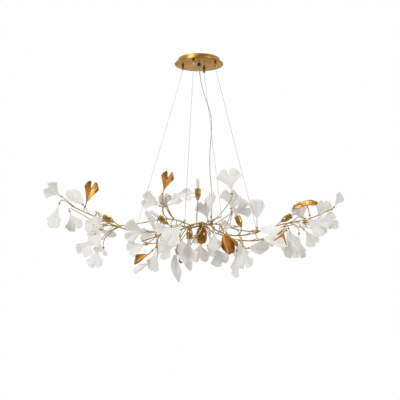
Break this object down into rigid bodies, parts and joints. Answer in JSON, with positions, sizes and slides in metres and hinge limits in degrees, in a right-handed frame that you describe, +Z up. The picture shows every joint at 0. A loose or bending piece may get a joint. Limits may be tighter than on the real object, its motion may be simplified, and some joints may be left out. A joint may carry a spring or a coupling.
{
  "type": "branch chandelier",
  "caption": "Oblong hanging chandelier with gold branches, ceramic and gold ginkgo leaves, small capsule lamps and a round ceiling canopy on thin wires.",
  "frame": {"origin": "middle of the canopy on the ceiling plane; everything hangs below it", "axes": "+X to the right along the spray, +Y away from the viewer, +Z up into the ceiling"},
  "size_m": [1.5275, 0.5203, 1.1332],
  "materials": {
    "satin_brass": "brushed satin",
    "zinc_steel": "zinc plated",
    "terminal_plastic": "moulded",
    "screw_brass": "machined",
    "clear_nylon": "moulded",
    "cable_pvc": "clear glossy",
    "dark_gold": "polished, darkened",
    "nickel": "nickel plated",
    "wire_steel": "bright drawn",
    "cap_brass": "turned",
    "socket_ceramic": "unglazed",
    "branch_gold": "brushed, lacquered",
    "leaf_ceramic": "matt bisque",
    "leaf_gold": "polished, lacquered",
    "lamp_glass": "frosted"
  },
  "bodies": {
    "chandelier": {"branch_front_middle": "branch_gold", "branch_left_front": "branch_gold", "branch_left_main": "branch_gold", "branch_left_rear": "branch_gold", "branch_rear_middle": "branch_gold", "branch_right_front": "branch_gold", "branch_right_main": "branch_gold", "branch_right_rear": "branch_gold", "cable_entry": "dark_gold", "cable_gland": "clear_nylon", "canopy_drum": "satin_brass", "canopy_plate": "satin_brass", "ceiling_bracket": "zinc_steel", "drum_side_screws": "satin_brass", "earth_screw": "screw_brass", "gland_nut": "zinc_steel", "gold_leaves_left": "leaf_gold", "gold_leaves_right": "leaf_gold", "gripper_bodies": "satin_brass", "gripper_nuts": "zinc_steel", "hub_bowl": "dark_gold", "hub_finial": "dark_gold", "hub_neck": "dark_gold", "hub_tie_rod": "zinc_steel", "lamp_cups": "cap_brass", "lamp_sockets": "socket_ceramic", "leaf_caps": "cap_brass", "plate_nuts": "zinc_steel", "power_cable": "cable_pvc", "terminal_block": "terminal_plastic", "white_leaves_front_middle": "leaf_ceramic", "white_leaves_left_front": "leaf_ceramic", "white_leaves_left_main": "leaf_ceramic", "white_leaves_left_rear": "leaf_ceramic", "white_leaves_rear_middle": "leaf_ceramic", "white_leaves_right_front": "leaf_ceramic", "white_leaves_right_main": "leaf_ceramic", "white_leaves_right_rear": "leaf_ceramic", "wire_collars": "dark_gold", "wire_far": "wire_steel", "wire_ferrules": "nickel", "wire_left": "wire_steel", "wire_near": "wire_steel", "wire_right": "wire_steel"},
    "lamp_1": {"lamp_1": "lamp_glass"},
    "lamp_2": {"lamp_2": "lamp_glass"},
    "lamp_3": {"lamp_3": "lamp_glass"},
    "lamp_4": {"lamp_4": "lamp_glass"},
    "lamp_5": {"lamp_5": "lamp_glass"},
    "lamp_6": {"lamp_6": "lamp_glass"},
    "lamp_7": {"lamp_7": "lamp_glass"},
    "lamp_8": {"lamp_8": "lamp_glass"},
    "gripper_nose_1": {"gripper_nose_1": "nickel"},
    "gripper_nose_2": {"gripper_nose_2": "nickel"},
    "gripper_nose_3": {"gripper_nose_3": "nickel"},
    "gripper_nose_4": {"gripper_nose_4": "nickel"}
  },
  "joints": [
    {"name": "lamp_1_pull", "type": "slide", "parent": "chandelier", "child": "lamp_1", "axis": [-0.8746, 0, 0.4848], "range_m": [0, 0.02]},
    {"name": "lamp_2_pull", "type": "slide", "parent": "chandelier", "child": "lamp_2", "axis": [0, 0, 1], "range_m": [0, 0.02]},
    {"name": "lamp_3_pull", "type": "slide", "parent": "chandelier", "child": "lamp_3", "axis": [0.848, 0, 0.5299], "range_m": [0, 0.02]},
    {"name": "lamp_4_pull", "type": "slide", "parent": "chandelier", "child": "lamp_4", "axis": [-0.7986, 0, 0.6018], "range_m": [0, 0.02]},
    {"name": "lamp_5_pull", "type": "slide", "parent": "chandelier", "child": "lamp_5", "axis": [0, 0, -1], "range_m": [0, 0.02]},
    {"name": "lamp_6_pull", "type": "slide", "parent": "chandelier", "child": "lamp_6", "axis": [-0.342, 0, 0.9397], "range_m": [0, 0.02]},
    {"name": "lamp_7_pull", "type": "slide", "parent": "chandelier", "child": "lamp_7", "axis": [0, 0, -1], "range_m": [0, 0.02]},
    {"name": "lamp_8_pull", "type": "slide", "parent": "chandelier", "child": "lamp_8", "axis": [0.9511, 0, 0.309], "range_m": [0, 0.02]},
    {"name": "gripper_nose_1_press", "type": "slide", "parent": "chandelier", "child": "gripper_nose_1", "axis": [0, 0, 1], "range_m": [0, 0.002], "stiffness_N_per_m": 500, "springref_m": -0.001},
    {"name": "gripper_nose_2_press", "type": "slide", "parent": "chandelier", "child": "gripper_nose_2", "axis": [0, 0, 1], "range_m": [0, 0.002], "stiffness_N_per_m": 500, "springref_m": -0.001},
    {"name": "gripper_nose_3_press", "type": "slide", "parent": "chandelier", "child": "gripper_nose_3", "axis": [0, 0, 1], "range_m": [0, 0.002], "stiffness_N_per_m": 500, "springref_m": -0.001},
    {"name": "gripper_nose_4_press", "type": "slide", "parent": "chandelier", "child": "gripper_nose_4", "axis": [0, 0, 1], "range_m": [0, 0.002], "stiffness_N_per_m": 500, "springref_m": -0.001}
  ]
}
